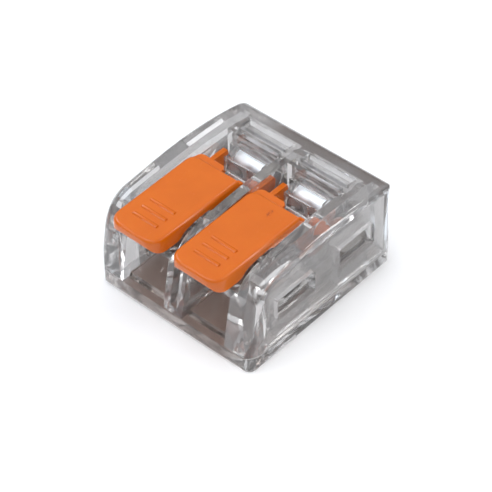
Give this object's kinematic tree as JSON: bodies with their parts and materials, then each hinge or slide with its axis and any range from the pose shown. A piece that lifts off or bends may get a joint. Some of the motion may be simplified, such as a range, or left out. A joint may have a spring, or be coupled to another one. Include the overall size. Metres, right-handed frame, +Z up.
{
  "type": "lever wire connector",
  "caption": "Clear splicing connector with hinged orange levers that lift spring clamps off a shared bus bar; wires enter at the front.",
  "frame": {"origin": "middle of the flat underside", "axes": "+Z up, +X across the levers to the right seen from the wire entries, +Y from the wire entries to the back"},
  "size_m": [0.0178, 0.0202, 0.01],
  "materials": {
    "housing": "clear polycarbonate, glossy",
    "cover": "clear polycarbonate, glossy",
    "lever": "orange, fine satin grain",
    "spring": "bright stainless spring strip",
    "bus_bar": "tinned copper"
  },
  "bodies": {
    "body": {"housing_shell": "housing", "base_cover": "cover", "spring_left": "spring", "spring_right": "spring", "bus_bar": "bus_bar"},
    "lever_left": {"lever_left": "lever"},
    "lever_right": {"lever_right": "lever"},
    "clamp_leg_left": {"clamp_leg_left": "spring"},
    "clamp_leg_right": {"clamp_leg_right": "spring"}
  },
  "joints": [
    {"name": "lever_left_hinge", "type": "hinge", "parent": "body", "child": "lever_left", "pos_m": [-0.00346, 0.0016, 0.00718], "axis": [-1, 0, 0], "range_deg": [0, 90]},
    {"name": "lever_right_hinge", "type": "hinge", "parent": "body", "child": "lever_right", "pos_m": [0.00346, 0.0016, 0.00718], "axis": [-1, 0, 0], "range_deg": [0, 90]},
    {"name": "clamp_leg_left_flex", "type": "hinge", "parent": "body", "child": "clamp_leg_left", "pos_m": [-0.00346, 0.0041, 0.00638], "axis": [-1, 0, 0], "range_deg": [0, 27]},
    {"name": "clamp_leg_right_flex", "type": "hinge", "parent": "body", "child": "clamp_leg_right", "pos_m": [0.00346, 0.0041, 0.00638], "axis": [-1, 0, 0], "range_deg": [0, 27]}
  ],
  "couplings": [
    {"joint": "clamp_leg_left_flex", "follows": "lever_left_hinge", "ratio": 0.3},
    {"joint": "clamp_leg_right_flex", "follows": "lever_right_hinge", "ratio": 0.3}
  ]
}
